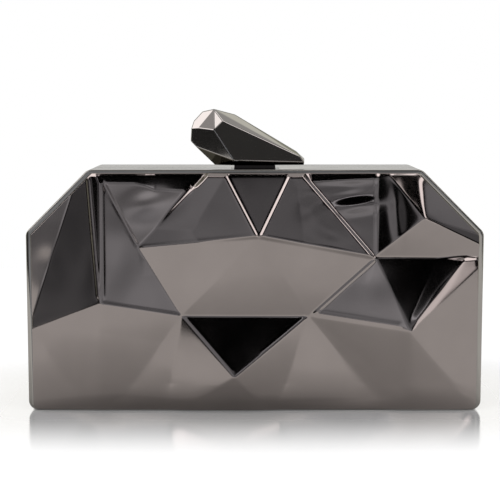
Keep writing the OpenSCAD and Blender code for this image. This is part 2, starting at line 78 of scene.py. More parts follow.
class Wiring:
    """Nodes of one finish or light, wired in the order that they work."""

    def __init__(self, tree):
        self.nodes = tree.nodes
        self.links = tree.links

    def add(self, kind, inputs=(), **settings):
        node = self.nodes.new(kind)
        for key, value in settings.items():
            setattr(node, key, value)
        for key, value in dict(inputs).items():
            if isinstance(value, bpy.types.NodeSocket):
                self.links.new(value, node.inputs[key])
            else:
                node.inputs[key].default_value = value
        return node

    def reckon(self, operation, *values):
        """One step of arithmetic."""
        return self.add("ShaderNodeMath", dict(enumerate(values)), operation=operation).outputs[0]

    def remap(self, value, low, high, start=0.3, end=0.7, ease="LINEAR"):
        """From low to high, as the value goes from start to end."""
        spans = {"From Min": start, "From Max": end, "To Min": low, "To Max": high}
        return self.add("ShaderNodeMapRange", {"Value": value, **spans}, interpolation_type=ease).outputs[0]

    def mixed(self, share, under, over, blend="MIX"):
        """Two colours, the second laid over the first."""
        sockets = {0: share, 6: under, 7: over}
        return self.add("ShaderNodeMix", sockets, data_type="RGBA", blend_type=blend).outputs[2]


class Finish(Wiring):
    """The finish of one material, on the object's own coordinates."""

    def __init__(self, name):
        self.material = bpy.data.materials.new(name)
        self.material.use_nodes = True
        super().__init__(self.material.node_tree)
        self.surface = self.nodes["Principled BSDF"]
        self.place = self.add("ShaderNodeTexCoord").outputs["Object"]

    def grain(self, scale, detail=2.0, stretch=(1, 1, 1), distortion=0.0):
        place = self.add("ShaderNodeMapping", {"Vector": self.place, "Scale": stretch})
        grain = self.add(
            "ShaderNodeTexNoise",
            {"Vector": place.outputs[0], "Scale": scale, "Detail": detail, "Distortion": distortion},
        )
        return grain.outputs[0]

    def ramp(self, value, stops):
        ramp = self.add("ShaderNodeValToRGB", {"Fac": value})
        band = ramp.color_ramp
        while len(band.elements) < len(stops):
            band.elements.new(0.5)
        for element, (at, colour) in zip(band.elements, stops):
            element.position = at
            element.color = (*colour, 1)
        return ramp.outputs[0]

    def relief(self, height, strength, distance, under=None):
        inputs = {"Height": height, "Strength": strength, "Distance": distance}
        if under is not None:
            inputs["Normal"] = under
        return self.add("ShaderNodeBump", inputs).outputs[0]

    def set(self, **values):
        names = {
            "colour": "Base Color",
            "metal": "Metallic",
            "rough": "Roughness",
            "normal": "Normal",
            "sheen": "Sheen Weight",
            "sheen_rough": "Sheen Roughness",
            "coat": "Coat Weight",
            "specular": "Specular IOR Level",
        }
        for key, value in values.items():
            socket = self.surface.inputs[names[key]]
            if isinstance(value, bpy.types.NodeSocket):
                self.links.new(value, socket)
            else:
                socket.default_value = value
        return self.material


def dark_plating(name, tone, smear, wave, wave_scale, dull_parting=0.0):
    """Mirror plating with faint clouds and polishing lines; it can be dull along the parting plane."""
    finish = Finish(name)
    cloud = finish.grain(34, 3)
    wiped = finish.grain(120, 4, stretch=(1, 1, 0.35))
    swell = finish.grain(wave_scale, 1)
    polish = finish.grain(900, 2, stretch=(0.12, 1, 1))
    rough = finish.reckon("ADD", finish.remap(cloud, *smear), finish.remap(wiped, 0, 0.018))
    lines = finish.relief(polish, 0.05, 0.00002)
    thin, thick = ([c * share for c in tone] for share in (0.93, 1.06))
    colour = finish.ramp(cloud, [(0.3, thin), (0.7, thick)])
    if dull_parting:
        apart = finish.add("ShaderNodeSeparateXYZ", {0: finish.place}).outputs["Y"]
        worn = finish.remap(finish.reckon("ABSOLUTE", apart), 1.0, 0.0, 0.0002, 0.0006)
        colour = finish.mixed(worn, colour, (*[c * dull_parting for c in tone], 1))
        rough = finish.reckon("MULTIPLY_ADD", worn, 0.25, rough)
    return finish.set(
        colour=colour,
        metal=1.0,
        rough=rough,
        normal=finish.relief(swell, wave, 0.0004, lines),
    )


gunmetal_frame = dark_plating("gunmetal_frame", (0.262, 0.248, 0.228), (0.05, 0.08), 0.12, 60, 0.45)


def break_edges(piece, width, segments, angle):
    """A fine rounding along every edge that is sharper than the angle, in degrees."""
    edges = piece.modifiers.new("broken_edges", "BEVEL")
    edges.width = width
    edges.segments = segments
    edges.limit_method = "ANGLE"
    edges.angle_limit = math.radians(angle)
    edges.harden_normals = True


def dress(name, material, broken_edge=0.0, segments=3):
    """A CAD piece in its own shape: its finish, and its edges broken."""
    part = parts[name]
    part.data.materials.clear()
    part.data.materials.append(material)
    if broken_edge:
        joined = part.modifiers.new("joined_faces", "WELD")
        joined.merge_threshold = 0.000002
        break_edges(part, broken_edge, segments, 35)


def placed(name, mesh, body, node):
    """A piece of its own on a body; it stands for a CAD node, if one is named."""
    piece = bpy.data.objects.new(name, mesh)
    scene.collection.objects.link(piece)
    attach(piece, body)
    if node:
        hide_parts(node)
    return piece


def rolled_shell(name, node, body):
    """The drawn shell: its outer rim and its parting edge are rounded, the other edges finely broken."""
    metal = bmesh.new()
    metal.from_mesh(parts[node].data)
    bmesh.ops.remove_doubles(metal, verts=metal.verts, dist=0.000005)
    bmesh.ops.dissolve_limit(metal, angle_limit=math.radians(0.5), verts=metal.verts, edges=metal.edges)
    centre = Vector((0, 0, case_h / 2))

    def outer_edges(at, low):
        """Edges in one plane across the depth, where a flat face meets the outside of the wall."""
        found = []
        for edge in metal.edges:
            level = all(abs(abs(v.co.y) - at) <= 0.00001 and v.co.z >= low for v in edge.verts)
            if len(edge.link_faces) != 2 or not level:
                continue
            middle = (edge.verts[0].co + edge.verts[1].co) / 2 - centre
            flat, wall = sorted(edge.link_faces, key=lambda face: -abs(face.normal.y))
            if abs(flat.normal.y) > 0.99 and abs(wall.normal.y) < 0.01 and wall.normal.dot(middle) > 0:
                found.append(edge)
        return found

    for at, low in ((half_d, -1), (abs(case_low.y), 0.005)):
        rolled = outer_edges(at, low)
        bmesh.ops.bevel(metal, geom=rolled, offset=rim_round, segments=4, profile=0.5, affect="EDGES")
    for face in metal.faces:
        face.smooth = True
    mesh = bpy.data.meshes.new(name)
    metal.to_mesh(mesh)
    metal.free()
    mesh.materials.append(gunmetal_frame)
    break_edges(placed(name, mesh, body, node), 0.00015, 2, 40)


rolled_shell("back_shell", "back_frame", "back_half")

# Back relief panel: 0.9 mm sheet pressed over a carved form, then polished and plated.
# It stands behind the rim on a flange, and its creases are softly rounded by the pressing.
# The rim with its gap, and the shoulder: how much of each upper corner is cut off at 45 degrees
rim_w = 0.0021 + 0.00025
shoulder = 0.026
inset_slope = math.tan(math.radians(22.5))
relief = -half_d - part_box("front_panel")[0].y
panel_half_w = case_w / 2 - rim_w
panel_low = rim_w
panel_high = case_h - rim_w
base_half_w = panel_half_w - 0.0001
# The brow is the panel's upper edge; the shoulders run from its ends down to this height
brow_half_w = case_w / 2 - shoulder - rim_w * inset_slope
brow_side_z = case_h - shoulder - rim_w * inset_slope
side_low = panel_low + 0.37 * 0.004
# The lower border hangs over the rim, down to this height, and rounds off at its ends
hem_low = 0.0006
hem_round = 0.0026
# The rest of the border laps over the rim a little at the sides and more along the top
side_lap = 0.0002
top_lap = 0.00105
lap_top = panel_high + top_lap
border_roll = 0.00002
# How far a worn crease is softened, and one worn more widely
worn_reach = 0.0013
wide_reach = 0.003
# Below this height every crease is worn widely; above it the wear fades out over twice as much
foot_high = 0.004

# Corners of the relief, as in the CAD: along the brow each as its place across and its depth, down
# the sides as how far down and its depth, and inside as across, up and depth; all are shares
brow = [
    (-0.938, 0.26), (-0.296, 0.25), (-0.162, 0.37), (0.197, 0.38), (0.309, 0.29), (0.733, 0.17),
    (0.811, 0.32),
]
right_side = [(0.055, 0.24), (0.135, 0.03), (0.19, 0.12)]
left_side = [(0.485, 0.11), (0.567, 0.17)]
facet_corners = [
    (-0.686, 0.457, 0.72), (0.018, 0.749, 0.87), (0.747, 0.823, 0.9), (0.691, 0.336, 1.0),
    (-0.089, 0.137, 1.0), (-0.521, 0.694, 0.29), (-0.327, 0.396, 0.28), (0.241, 0.393, 0.18),
    (0.535, 0.655, 0.48),
]
roll_corners = [
    (-0.783, 0.031, 0.27), (-0.688, 0.023, 0.42), (-0.581, 0.054, 0.32), (-0.393, 0.032, 0.34),
    (-0.308, 0.011, 0.56), (0.033, 0.011, 0.56), (0.109, 0.015, 0.33), (0.552, 0.034, 0.12),
    (0.706, 0.038, 0.4), (0.952, 0.026, 0.26),
]
# Each facet by three corners, numbered as relief_points lists them
facets = [
    (30, 29, 28), (0, 30, 31), (30, 28, 31), (28, 27, 31), (0, 1, 31), (1, 31, 36), (31, 37, 36),
    (1, 2, 36), (2, 3, 32), (2, 32, 36), (3, 4, 32), (4, 5, 32), (5, 39, 32), (5, 6, 39),
    (6, 7, 39), (7, 33, 39), (7, 8, 33), (8, 9, 33), (9, 10, 33),
    (33, 10, 39), (10, 11, 39), (39, 11, 12), (39, 12, 34), (39, 34, 38), (12, 13, 34), (13, 49, 34),
    (36, 32, 37), (32, 38, 37), (32, 39, 38), (37, 38, 35),
    (27, 40, 26), (27, 31, 40), (31, 41, 40), (31, 37, 42), (31, 42, 41), (37, 43, 42),
    (37, 35, 44), (37, 44, 43), (35, 45, 44), (35, 38, 46), (35, 46, 45), (38, 47, 46),
    (38, 34, 48), (38, 48, 47), (34, 49, 48),
    (26, 40, 25), (25, 40, 24), (13, 14, 49), (14, 15, 49),
    (24, 40, 41), (24, 41, 23), (23, 41, 42), (23, 42, 22), (22, 42, 43), (22, 43, 21),
    (21, 43, 44), (21, 44, 20), (20, 44, 45), (20, 45, 19), (19, 45, 46), (19, 46, 18),
    (18, 46, 47), (18, 47, 17), (17, 47, 48), (17, 48, 16), (16, 48, 49), (16, 49, 15),
]


def relief_points():
    """Every corner: those of the outline from the upper left clockwise, then the inner ones."""
    side = brow_side_z - side_low
    high = panel_high - panel_low
    lift = 0.12 * relief
    shoulder_lift = 0.16 * relief
    edge = [(-brow_half_w, panel_high, lift)]
    edge += [(x * brow_half_w, panel_high, d * relief) for x, d in brow]
    edge += [(brow_half_w, panel_high, shoulder_lift), (panel_half_w, brow_side_z, shoulder_lift)]
    edge += [(panel_half_w, brow_side_z - z * side, d * relief) for z, d in right_side]
    edge += [(panel_half_w, hem_low + hem_round, lift), (base_half_w, hem_low, lift)]
    for x, _, d in reversed(roll_corners):
        edge.append((x * base_half_w, hem_low, lift + 0.36 * (d * relief - lift)))
    edge += [(-base_half_w, hem_low, lift), (-panel_half_w, hem_low + hem_round, lift)]
    edge += [(-panel_half_w, brow_side_z - z * side, d * relief) for z, d in reversed(left_side)]
    slant_x = -panel_half_w + 0.7 * (panel_half_w - brow_half_w)
    slant_z = brow_side_z + 0.7 * (panel_high - brow_side_z)
    edge += [(-panel_half_w, brow_side_z, lift), (slant_x, slant_z, 0.02 * relief)]
    spots = facet_corners + roll_corners
    inner = [(x * panel_half_w, panel_low + z * high, d * relief) for x, z, d in spots]
    return np.array(edge + inner)


corners = relief_points()


def facet_depth(x, z):
    """Depth of the sharp facets over each point of the panel."""
    depth = np.zeros_like(x)
    done = np.zeros(x.shape, bool)
    for a, b, c in facets:
        p, q, r = corners[a], corners[b], corners[c]
        area = (q[0] - p[0]) * (r[1] - p[1]) - (q[1] - p[1]) * (r[0] - p[0])
        if abs(area) < 1e-12:
            continue
        u = ((x - p[0]) * (r[1] - p[1]) - (z - p[1]) * (r[0] - p[0])) / area
        v = ((q[0] - p[0]) * (z - p[1]) - (q[1] - p[1]) * (x - p[0])) / area
        inside = (u > -1e-6) & (v > -1e-6) & (u + v < 1 + 1e-6) & ~done
        depth[inside] = (p[2] + u * (q[2] - p[2]) + v * (r[2] - p[2]))[inside]
        done |= inside
    return depth


def half_width(z):
    """Half the panel's width at a height: narrower at the shoulders and the lower corners."""
    slope = (panel_half_w - brow_half_w) / (panel_high - brow_side_z)
    width = np.where(z > brow_side_z, panel_half_w - (z - brow_side_z) * slope, panel_half_w)
    under = np.clip(hem_low + hem_round - z, 0, hem_round)
    return width - hem_round + np.sqrt(hem_round**2 - under**2)


def edge_distance(x, z):
    """How far each point of the panel lies inside its border."""
    side = half_width(z) - np.abs(x)
    side = np.where(z > brow_side_z, side * math.cos(math.radians(45)), side)
    return np.minimum(np.minimum(lap_top - z, z - hem_low), side)


def pressed_depth(x, z):
    """The sharp facets, carried on in their own planes past the outline of the panel."""
    level = np.clip(z, hem_low + 0.00001, panel_high - 0.00001)
    mirrored = np.clip(2 * level - z, hem_low + 0.00001, panel_high - 0.00001)

    def across(x, z):
        rim = half_width(z) - 0.00001
        inside = np.clip(x, -rim, rim)
        depth = facet_depth(inside, z)
        out = np.abs(x) > rim
        back = np.clip(2 * inside - x, -rim, rim)
        depth[out] += (depth - facet_depth(back, z))[out]
        return depth

    depth = across(x, level)
    above = z > level
    depth[above] += (depth - across(x, mirrored))[above]
    return depth


def along(a, b, x, z):
    """For each point: how far left of the crease from one corner to another, how far along, how far past."""
    p, q = corners[a][:2], corners[b][:2]
    length = np.hypot(*(q - p))
    way = (q - p) / length
    run = (x - p[0]) * way[0] + (z - p[1]) * way[1]
    off = (z - p[1]) * way[0] - (x - p[0]) * way[1]
    past = np.maximum(0, np.maximum(-run, run - length))
    return off, np.clip(run / length, 0, 1), past


def folded(x, z, a, b, shift, rise, left, right, start, end, taper=1.0):
    """A fold beside a crease: an uneven roof, its top `shift` to the left, as high and wide at its
    end as `taper` times its start."""
    off, run, past = along(a, b, x, z)
    size = 1 + (taper - 1) * np.clip((run - start) / (end - start), 0, 1)
    side = off - shift * size
    width = np.where(side > 0, left, right) * np.maximum(size, 0.05)
    roof = np.clip(1.02 - np.sqrt((side / width) ** 2 + 0.0016), 0, 1)
    fade = np.clip((run - start) / 0.04, 0, 1) * np.clip((end - run) / 0.04, 0, 1)
    return rise * size * roof * fade * np.clip(1 - past / 0.002, 0, 1)


def lipped(x, z, lips, others, rise, ramp, fall, taper=1.0):
    """A facet's edge raised along the creases `lips`: a ramp, then a long fall to nothing behind it.
    The ramp starts outside its crease, as far as `lips` says, and is as long and high at the end of
    the first crease as `taper` times its start. Each of the facet's other creases lets the edge die
    away between two distances inside that crease."""

    def inside(a, b):
        return -along(a, b, x, z)[0]

    size = 1 + (taper - 1) * along(*lips[0][:2], x, z)[1]
    deep = np.min([inside(a, b) + ahead for a, b, ahead in lips], axis=0) / size
    height = rise * size * np.clip(deep / ramp, 0, 1) * np.clip(1 - (deep - ramp) / fall, 0, 1)
    for a, b, none, full in others:
        height *= np.clip((inside(a, b) - none) / (full - none), 0, 1)
    return height


def bent_back(x, z, a, b, tilt, widths, beside=None):
    """The strip to the right of an edge, bent back by so many degrees, as wide as listed along it.
    It can end at the crease `beside`, on whose right it lies."""
    off, run, past = along(a, b, x, z)
    width = np.interp(run, *zip(*widths)) * np.clip(1 - past / 0.001, 0, 1)
    sink = math.tan(math.radians(tilt)) * np.clip(width + off, 0, None)
    return -sink * (along(*beside, x, z)[0] < 0) if beside else -sink


def sampled(field, x, z, left, low, step):
    """A field's values at free points: a smooth cubic between those of its square grid."""
    gx, gz = (x - left) / step, (z - low) / step
    ix, iz = np.floor(gx).astype(int), np.floor(gz).astype(int)
    fx, fz = gx - ix, gz - iz

    def weights(t):
        return (
            (1 - t) ** 3 / 6,
            (3 * t**3 - 6 * t**2 + 4) / 6,
            (-3 * t**3 + 3 * t**2 + 3 * t + 1) / 6,
            t**3 / 6,
        )

    total = np.zeros_like(x)
    for j, wz in enumerate(weights(fz)):
        for i, wx in enumerate(weights(fx)):
            total += wz * wx * field[iz + j - 1, ix + i - 1]
    return total


def blurred(field, reach, step):
    """The pressing rounds every crease: each point takes the mean of its neighbourhood."""
    n = int(math.ceil(3 * reach / step))
    weights = np.exp(-0.5 * (np.arange(-n, n + 1) * step / reach) ** 2)
    weights /= weights.sum()
    for axis in (0, 1):
        margins = [(n, n) if a == axis else (0, 0) for a in (0, 1)]
        wide = np.pad(field, margins, mode="reflect", reflect_type="odd")
        field = sum(
            w * (wide[i : i + field.shape[0], :] if axis == 0 else wide[:, i : i + field.shape[1]])
            for i, w in enumerate(weights)
        )
    return field


def worn_depth(x, z, step, rounding):
    """The pressed sheet over a square grid: facets, folds and edges, rounded creases, wear and dents."""
    across, up = x / panel_half_w, (z - panel_low) / (panel_high - panel_low)
    sharp = pressed_depth(x, z)
    for strip in bent_strips:
        sharp += bent_back(x, z, *strip)
    for fold in folds:
        sharp += folded(x, z, *fold)
    for lip in raised_lips:
        sharp += lipped(x, z, *lip)
    depth = blurred(sharp, rounding, step)
    soft = blurred(sharp, worn_reach, step)
    softer = blurred(sharp, wide_reach, step)
    for cx, cz, rx, rz in worn_places:
        share = np.exp(-(((across - cx) / rx) ** 2) - ((up - cz) / rz) ** 2)
        depth += share * (soft - depth)
    foot_share = np.clip(1.5 - z / (2 * foot_high), 0, 1)
    depth += foot_share * (softer - depth)
    for cx, cz, rx, rz, turn, sink, lean in dents:
        px, pz = x - cx * panel_half_w, z - panel_low - cz * (panel_high - panel_low)
        c, s = math.cos(math.radians(turn)), math.sin(math.radians(turn))
        u, v = (px * c + pz * s) / rx, (pz * c - px * s) / rz
        depth -= (sink + lean * v) * np.exp(-0.5 * (u**2 + v**2))
    return depth


def skirt_foot(rim, outward):
    """The edge of the sheet, turned in under the border: where it meets the frame's rim."""
    foot = rim.copy()
    foot[:, 1] = outward * (half_d + 0.0001)
    foot[:, 0] *= 1 - 0.0003 / panel_half_w
    foot[:, 2] += np.where(foot[:, 2] < hem_low + hem_round / 2, 0.0008, 0)
    foot[:, 2] -= np.where(foot[:, 2] > panel_high, 0.0003, 0)
    return foot


def sheet_mesh(name, points, quads, cut):
    """A smooth mesh of plated quads; `cut` is one where a quad belongs to the sheet's cut edge, which is
    painted near black as the shade in the seam.
    """
    mesh = bpy.data.meshes.new(name)
    mesh.vertices.add(len(points))
    mesh.vertices.foreach_set("co", points.astype(np.float32).ravel())
    mesh.loops.add(quads.size)
    mesh.loops.foreach_set("vertex_index", quads.astype(np.int32).ravel())
    mesh.polygons.add(len(quads))
    mesh.polygons.foreach_set("loop_start", np.arange(0, quads.size, 4, dtype=np.int32))
    mesh.polygons.foreach_set("use_smooth", np.ones(len(quads), bool))
    mesh.polygons.foreach_set("material_index", cut.astype(np.int32))
    mesh.update(calc_edges=True)
    mesh.validate()
    mesh.materials.append(gunmetal_panel)
    mesh.materials.append(cut_edge_and_seam_shade)
    return mesh


def pressed_panel(name, node, body, outward, step, rounding):
    """One panel as a skin of small quads with a rolled border, and the cut edge of the sheet round it,
    painted near black as the shade in the seam.
    """
    margin = 0.001
    left, low = -panel_half_w - margin, hem_low - margin
    gx = np.arange(left, panel_half_w + margin + step, step)
    gz = np.arange(low, lap_top + margin + step, step)
    field = worn_depth(*np.meshgrid(gx, gz), step, rounding)
    rows = int((lap_top - hem_low) / step)
    columns = int(2 * panel_half_w / step)
    v, u = np.meshgrid(np.linspace(0, 1, rows), np.linspace(-1, 1, columns), indexing="ij")
    z = hem_low + v * (lap_top - hem_low)
    x = u * half_width(z)
    depth = sampled(field, x, z, left, low, step)
    inset = np.clip(1 - edge_distance(x, z) / border_roll, 0, 1)
    depth -= border_roll * (1 - np.sqrt(np.maximum(0, 1 - inset**2)))
    x = x * (1 + side_lap / panel_half_w)
    points = np.stack([-outward * x, outward * (half_d + depth), z], -1).reshape(-1, 3)
    index = np.arange(rows * columns).reshape(rows, columns)
    quads = np.stack([index[:-1, :-1], index[:-1, 1:], index[1:, 1:], index[1:, :-1]], -1).reshape(-1, 4)
    ring = np.concatenate([index[0, :], index[1:, -1], index[-1, -2::-1], index[-2:0:-1, 0]])
    here = np.arange(len(ring))
    turn = (here + 1) % len(ring)
    skirt = np.stack([ring, len(points) + here, len(points) + turn, ring[turn]], -1)
    points = np.concatenate([points, skirt_foot(points[ring], outward)])
    faces = np.concatenate([quads, skirt])
    cut = np.repeat([0, 1], [len(quads), len(skirt)])
    placed(name, sheet_mesh(name, points, faces, cut), body, node)


# Folds that the pressing leaves beside its creases: the two corners, then in metres how far left
# the top lies, its rise and its width on each side; then where it starts and ends as shares of the
# crease, and the taper
folds = [
    (6, 39, 0.0, 0.00016, 0.0006, 0.0006, 0.0, 1.0),
    (0, 31, -0.0006, 0.0003, 0.0008, 0.0008, 0.0, 0.98),
    (1, 31, 0.0013, 0.00013, 0.0007, 0.0007, 0.0, 0.98),
    (1, 36, 0.0, -0.00016, 0.0008, 0.0008, 0.0, 1.0),
    (36, 32, 0.0, 0.0001, 0.0008, 0.012, 0.0, 0.97),
    (32, 39, 0.0, 0.0001, 0.0008, 0.012, 0.03, 1.0),
    (31, 37, 0.0, 0.00018, 0.0009, 0.012, 0.0, 1.0),
    (2, 36, 0.0, 0.0005, 0.0005, 0.0026, 0.14, 0.7, 0.05),
    (37, 35, 0.0013, 0.0001, 0.0004, 0.0004, 0.0, 0.95),
    (35, 38, 0.0012, 0.0001, 0.0004, 0.0004, 0.35, 1.0),
    (39, 38, 0.0006, 0.00022, 0.0009, 0.0007, 0.0, 0.97),
    (34, 38, -0.0016, 0.00014, 0.0006, 0.002, 0.08, 0.95),
]
# Raised edges of three facets: the creases that carry one, each with how far outside it the ramp
# starts; the facet's other creases with the two distances of each; then in metres the rise, the
# length of the ramp and of the fall, and the taper
raised_lips = [
    (
        ((2, 3, 0.0009), (3, 32, 0.0)),
        ((32, 36, -0.0012, 0.0), (36, 2, -0.0003, 0.0003)),
        0.0007, 0.0012, 0.022,
    ),
    (
        ((32, 4, 0.0), (4, 5, 0.0009), (5, 39, 0.0)),
        ((39, 32, -0.0012, 0.0),),
        0.0007, 0.0012, 0.03,
    ),
    (
        ((12, 34, 0.0),),
        ((34, 39, 0.0, 0.004), (39, 11, -0.001, 0.001), (11, 12, -0.001, 0.001)),
        0.00128, 0.0068, 0.012, 0.15,
    ),
]
# Strips bent back under the upper rim: the two corners, degrees, and the widths in metres at
# shares of the way; the first ends at a crease
bent_strips = [
    (
        1, 2, 12,
        ((0.0, 0.003), (0.34, 0.0032), (0.44, 0.0044), (0.52, 0.006), (1.0, 0.0062)),
        (2, 36),
    ),
    (5, 6, 15, ((0.0, 0.0008), (0.06, 0.0022), (0.9, 0.0012), (1.0, 0.0008))),
]
# Places where the polishing has widened the creases: place and reach, as shares of the panel
worn_places = [
    (-0.82, 0.16, 0.42, 0.24),
    (0.66, 0.14, 0.34, 0.22),
    (0.84, 0.5, 0.08, 0.08),
    (0.735, 0.96, 0.04, 0.10),
    (0.78, 0.9, 0.05, 0.08),
]
# Shallow dents: place, half sizes, turn in degrees, depth, and depth of one side under the other
dents = [
    (-0.47, 0.875, 0.008, 0.0042, 15, 0.00045, 0.0),
    (0.445, 0.894, 0.0068, 0.0026, 8, 0.0, 0.00062),
    (0.415, 0.958, 0.009, 0.0014, 3, 0.00022, 0.0),
    (0.44, 0.84, 0.008, 0.002, 6, 0.00008, 0.0),
    (0.629, 0.839, 0.0018, 0.009, 5, 0.0002, 0.0),
    (0.24, 0.86, 0.004, 0.003, 20, 0.00016, 0.0),
    (0.33, 0.77, 0.006, 0.003, -20, 0.00016, 0.0),
    (-0.63, 0.6, 0.006, 0.012, -20, 0.00025, 0.0),
    (-0.93, 0.62, 0.004, 0.006, 0, 0.0002, 0.0),
    (0.56, 0.55, 0.004, 0.005, 0, 0.00014, 0.0),
]
gunmetal_panel = dark_plating("gunmetal_panel", (0.222, 0.195, 0.183), (0.06, 0.10), 0.35, 45)
# The sheet's cut edge: a dull finish, painted near black as the shade in the seam round the panel
cut_edge_and_seam_shade = dark_plating("cut_edge_and_seam_shade", (0.05, 0.045, 0.042), (0.3, 0.4), 0.1, 80)
pressed_panel("back_relief", "back_panel", "back_half", 1, 0.0004, 0.00045)

# Panel clips of the back half: short strips of sheet steel, nickel plated with a satin grain.
# They are soldered to the frame and hold the panel's flange against the rim.
def satin_nickel(name, tone, grain_way, rough):
    finish = Finish(name)
    drawn = finish.grain(700, 3, stretch=grain_way)
    stain = finish.grain(90, 3)
    pale = [c * 1.08 for c in tone]
    dull = [c * 0.86 for c in tone]
    return finish.set(
        colour=finish.ramp(stain, [(0.3, dull), (0.7, pale)]),
        metal=1.0,
        rough=finish.remap(drawn, rough - 0.05, rough + 0.07),
        normal=finish.relief(drawn, 0.25, 0.00003),
    )


nickel_sheet = satin_nickel("nickel_sheet", (0.56, 0.54, 0.50), (0.08, 1, 1), 0.27)
dress("back_panel_clips", nickel_sheet, 0.00012, 2)

# Closing lip and catch of the back half: the lip is plated like the frame and the front half
# closes over it; the catch is a spring plate, its end turned down behind the hook's tooth.
dress("closing_lip", gunmetal_frame, 0.00015, 2)
spring_steel = satin_nickel("spring_steel", (0.50, 0.49, 0.47), (1, 0.1, 1), 0.22)
dress("catch_spring", spring_steel, 0.00012, 2)

# Lining board of the back half: a stiff card with thin wadding, covered in black satin.
# The satin is glued round to the back, so the edges are soft and the face is slightly full.
lining_in = 0.0013
lining_floor = 0.005
board_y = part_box("back_lining_board")[0].y
card_t = 0.001


def woven_satin(name, tone, nap):
    finish = Finish(name)
    warp = finish.add(
        "ShaderNodeTexWave",
        {"Vector": finish.place, "Scale": 900.0, "Distortion": 1.2, "Detail": 1.0},
        bands_direction="Z",
    )
    weft = finish.add(
        "ShaderNodeTexWave",
        {"Vector": finish.place, "Scale": 700.0, "Distortion": 0.8, "Detail": 1.0},
        bands_direction="X",
    )
    weave = finish.reckon("ADD", warp.outputs[1], weft.outputs[1])
    crease = finish.grain(55, 3, stretch=(1, 1, 0.5))
    light = [min(1, c * 1.7) for c in tone]
    return finish.set(
        colour=finish.ramp(crease, [(0.3, tone), (0.75, light)]),
        rough=finish.remap(crease, 0.38, 0.5),
        sheen=nap,
        sheen_rough=0.35,
        specular=0.4,
        normal=finish.relief(weave, 0.3, 0.00004, finish.relief(crease, 0.4, 0.0005)),
    )


black_satin = woven_satin("black_satin", (0.016, 0.014, 0.016), 0.35)


def lining_outline(inset, floor, radius, gap=0.0):
    """Points round the inside of a half, from the middle of the top clockwise, with round corners."""
    half = case_w / 2 - inset
    top = case_h - inset
    brow_x = case_w / 2 - shoulder - inset * inset_slope
    side_z = case_h - shoulder - inset * inset_slope
    turns = [(brow_x, top), (half, side_z), (half, floor), (-half, floor), (-half, side_z), (-brow_x, top)]
    route = [Vector((gap, top))]
    for i, turn in enumerate(turns):
        at = Vector(turn)
        before = Vector(turns[i - 1]) if i else Vector((gap, top))
        after = Vector(turns[i + 1]) if i < 5 else Vector((-gap, top))
        a = at + (before - at).normalized() * radius
        b = at + (after - at).normalized() * radius
        for t in (0, 0.25, 0.5, 0.75, 1):
            route.append((a * (1 - t) + at * t) * (1 - t) + (at * (1 - t) + b * t) * t)
    route.append(Vector((-gap, top)))
    fine = []
    for a, b in zip(route, route[1:]):
        steps = max(1, int((b - a).length / 0.002))
        fine += [a.lerp(b, k / steps) for k in range(steps)]
    return fine + [route[-1]]


def sewn(name, points, faces):
    """A piece of the black satin, its faces all turned outwards."""
    mesh = bpy.data.meshes.new(name)
    mesh.from_pydata([tuple(p) for p in points], [], faces)
    cloth = bmesh.new()
    cloth.from_mesh(mesh)
    bmesh.ops.recalc_face_normals(cloth, faces=cloth.faces)
    for face in cloth.faces:
        face.smooth = True
    cloth.to_mesh(mesh)
    cloth.free()
    mesh.materials.append(black_satin)
    return mesh


def joined_rings(rings, around, closed):
    """Quads from each ring of points to the next; a closed ring joins its own ends too."""
    faces = []
    for k in range(rings - 1):
        for i in range(around if closed else around - 1):
            j = (i + 1) % around
            faces.append((k * around + i, k * around + j, (k + 1) * around + j, (k + 1) * around + i))
    return faces


# Rings of the cover: share of the way from the middle to the edge, and depth as shares of the card
board_rings = [
    (0.0, 1.0), (0.6, 1.0), (0.988, 1.0), (0.996, 0.92), (1.0, 0.7), (1.0, 0.35), (0.997, 0.1), (0.99, 0.02),
    (0.98, -0.03), (0.95, -0.1), (0.88, -0.17), (0.75, -0.2), (0.55, -0.22), (0.3, -0.23), (0.0, -0.23),
]


def covered_board(name, node, body, outward):
    """Rings from the back of the card, round its edge and over the full face to the middle."""
    outline = lining_outline(lining_in, lining_floor, 0.0028)[:-1]
    middle = Vector((0, (lining_floor + case_h - lining_in) / 2))
    near = outward * abs(board_y)
    far = outward * (abs(board_y) + card_t)
    rng = random.Random(4)
    points = []
    for share, deep in board_rings:
        pucker = 0.00006 if 0.9 < share < 1 else 0.0
        for p in outline:
            q = middle + (p - middle) * share
            points.append((q.x, near + (far - near) * deep + outward * rng.uniform(-pucker, pucker), q.y))
    mesh = sewn(name, points, joined_rings(len(board_rings), len(outline), True))
    weld = bmesh.new()
    weld.from_mesh(mesh)
    bmesh.ops.remove_doubles(weld, verts=weld.verts, dist=0.00001)
    weld.to_mesh(mesh)
    weld.free()
    board = placed(name, mesh, body, node)


covered_board("back_board_cover", "back_lining_board", "back_half", 1)


